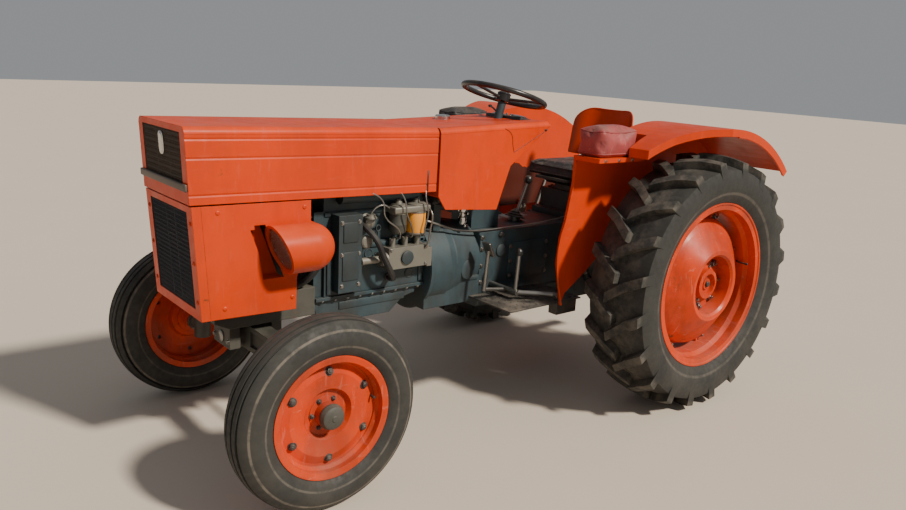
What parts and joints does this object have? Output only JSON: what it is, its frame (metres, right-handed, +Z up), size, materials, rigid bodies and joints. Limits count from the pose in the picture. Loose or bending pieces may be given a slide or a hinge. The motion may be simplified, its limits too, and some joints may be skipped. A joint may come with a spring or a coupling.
{
  "type": "vintage farm tractor",
  "caption": "Vintage orange farm tractor with box-shaped hood, open engine bay, curved rear fenders, chevron-lug rear tyres, steering front axle and rear hitch.",
  "frame": {"origin": "middle of the machine's outline on the ground plane", "axes": "+Z up, -Y to the front, +X to the tractor's left side"},
  "size_m": [1.804, 3.1668, 1.4849],
  "materials": {
    "tyre": "weathered rubber",
    "body_paint": "sun-faded orange enamel",
    "engine_paint": "blue-grey engine paint with grime",
    "grey_casting": "dull grey-green casting",
    "bare_steel": "worn bare steel",
    "dark_paint": "satin dark grey",
    "seat_vinyl": "pink-red vinyl",
    "lens_glass": "ribbed clear glass",
    "wheel_rim_plastic": "black",
    "pump_metal": "cream-grey cast alloy",
    "filter_amber": "amber bowls",
    "exhaust_rust": "rusty"
  },
  "bodies": {
    "chassis": {"engine_block": "engine_paint", "oil_sump": "engine_paint", "cylinder_head": "engine_paint", "timing_case": "engine_paint", "cooling_fan": "dark_paint", "dynamo_and_starter": "dark_paint", "injection_pump": "pump_metal", "fuel_filters": "filter_amber", "exhaust": "exhaust_rust", "radiator": "dark_paint", "front_support": "grey_casting", "front_axle": "grey_casting", "steering_box": "engine_paint", "clutch_housing": "engine_paint", "gearbox": "engine_paint", "rear_axle": "engine_paint", "lift_housing": "engine_paint", "drawbar": "grey_casting", "nose_frame": "body_paint", "lower_grille": "dark_paint", "side_panel_left": "body_paint", "side_panel_right": "body_paint", "headlights": "lens_glass", "cowl": "body_paint", "controls": "bare_steel", "footplates": "dark_paint", "fender_left": "body_paint", "fender_right": "body_paint", "fender_pads": "seat_vinyl", "seat_pan": "dark_paint", "seat_cushion": "seat_vinyl", "seat_back": "body_paint"},
    "hood_lid": {"hood": "body_paint", "upper_grille": "dark_paint"},
    "knuckle_left": {"knuckle_left": "grey_casting"},
    "knuckle_right": {"knuckle_right": "grey_casting"},
    "front_wheel_left": {"front_tyre_left": "tyre", "front_wheel_left": "body_paint"},
    "front_wheel_right": {"front_tyre_right": "tyre", "front_wheel_right": "body_paint"},
    "rear_wheel_left": {"rear_tyre_left": "tyre", "rear_wheel_left": "body_paint"},
    "rear_wheel_right": {"rear_tyre_right": "tyre", "rear_wheel_right": "body_paint"},
    "tie_rod": {"tie_rod": "bare_steel"},
    "drop_arm": {"drop_arm": "grey_casting"},
    "drag_link": {"drag_link": "bare_steel"},
    "steering_wheel": {"steering_wheel": "wheel_rim_plastic"},
    "lower_links": {"lower_links": "grey_casting"},
    "lift_arms": {"lift_arms": "grey_casting"},
    "lift_rods": {"lift_rods": "bare_steel"},
    "pto_shaft": {"pto_shaft": "bare_steel"}
  },
  "joints": [
    {"name": "front_wheel_left", "type": "hinge", "parent": "knuckle_left", "child": "front_wheel_left", "pos_m": [0.612, -1.2285, 0.355], "axis": [1, 0, 0], "continuous": true},
    {"name": "front_wheel_right", "type": "hinge", "parent": "knuckle_right", "child": "front_wheel_right", "pos_m": [-0.612, -1.2285, 0.355], "axis": [1, 0, 0], "continuous": true},
    {"name": "rear_wheel_left", "type": "hinge", "parent": "chassis", "child": "rear_wheel_left", "pos_m": [0.743, 0.6915, 0.606], "axis": [1, 0, 0], "continuous": true},
    {"name": "rear_wheel_right", "type": "hinge", "parent": "chassis", "child": "rear_wheel_right", "pos_m": [-0.743, 0.6915, 0.606], "axis": [1, 0, 0], "continuous": true},
    {"name": "steer_left", "type": "hinge", "parent": "chassis", "child": "knuckle_left", "pos_m": [0.47, -1.2285, 0.45], "axis": [0, 0, 1], "range_deg": [-40, 40]},
    {"name": "steer_right", "type": "hinge", "parent": "chassis", "child": "knuckle_right", "pos_m": [-0.47, -1.2285, 0.45], "axis": [0, 0, 1], "range_deg": [-40, 40]},
    {"name": "tie_rod_swing", "type": "hinge", "parent": "knuckle_left", "child": "tie_rod", "pos_m": [0.47, -1.0785, 0.4], "axis": [0, 0, 1], "range_deg": [-40, 40]},
    {"name": "drop_arm_swing", "type": "hinge", "parent": "chassis", "child": "drop_arm", "pos_m": [-0.3, -0.0535, 0.862], "axis": [1, 0, 0], "range_deg": [-40, 40]},
    {"name": "drag_link_swing", "type": "hinge", "parent": "drop_arm", "child": "drag_link", "pos_m": [-0.34, -0.0535, 0.692], "axis": [1, 0, 0], "range_deg": [-40, 40]},
    {"name": "steering_wheel_turn", "type": "hinge", "parent": "chassis", "child": "steering_wheel", "pos_m": [0, 0.08814, 1.41872], "axis": [0, 0.2672, 0.9636], "range_deg": [-500, 500]},
    {"name": "hood_lift", "type": "hinge", "parent": "chassis", "child": "hood_lid", "pos_m": [0, -0.465, 1.288], "axis": [-1, 0, 0], "range_deg": [0, 60]},
    {"name": "lower_links_lift", "type": "hinge", "parent": "chassis", "child": "lower_links", "pos_m": [0, 0.7515, 0.4], "axis": [1, 0, 0], "range_deg": [-12, 25]},
    {"name": "lift_arms_lift", "type": "hinge", "parent": "chassis", "child": "lift_arms", "pos_m": [0, 0.7915, 0.88], "axis": [1, 0, 0], "range_deg": [-12, 25]},
    {"name": "lift_rods_swing", "type": "hinge", "parent": "lift_arms", "child": "lift_rods", "pos_m": [0, 1.1215, 0.88], "axis": [1, 0, 0], "range_deg": [-25, 12]},
    {"name": "pto_turn", "type": "hinge", "parent": "chassis", "child": "pto_shaft", "pos_m": [0, 0.8915, 0.56], "axis": [0, 1, 0], "continuous": true}
  ],
  "couplings": [
    {"joint": "steer_right", "follows": "steer_left", "ratio": 1},
    {"joint": "tie_rod_swing", "follows": "steer_left", "ratio": -1},
    {"joint": "drop_arm_swing", "follows": "steer_left", "ratio": 0.7361},
    {"joint": "drag_link_swing", "follows": "steer_left", "ratio": -0.7361},
    {"joint": "steering_wheel_turn", "follows": "steer_left", "ratio": 12},
    {"joint": "lift_arms_lift", "follows": "lower_links_lift", "ratio": 1},
    {"joint": "lift_rods_swing", "follows": "lower_links_lift", "ratio": -1}
  ]
}
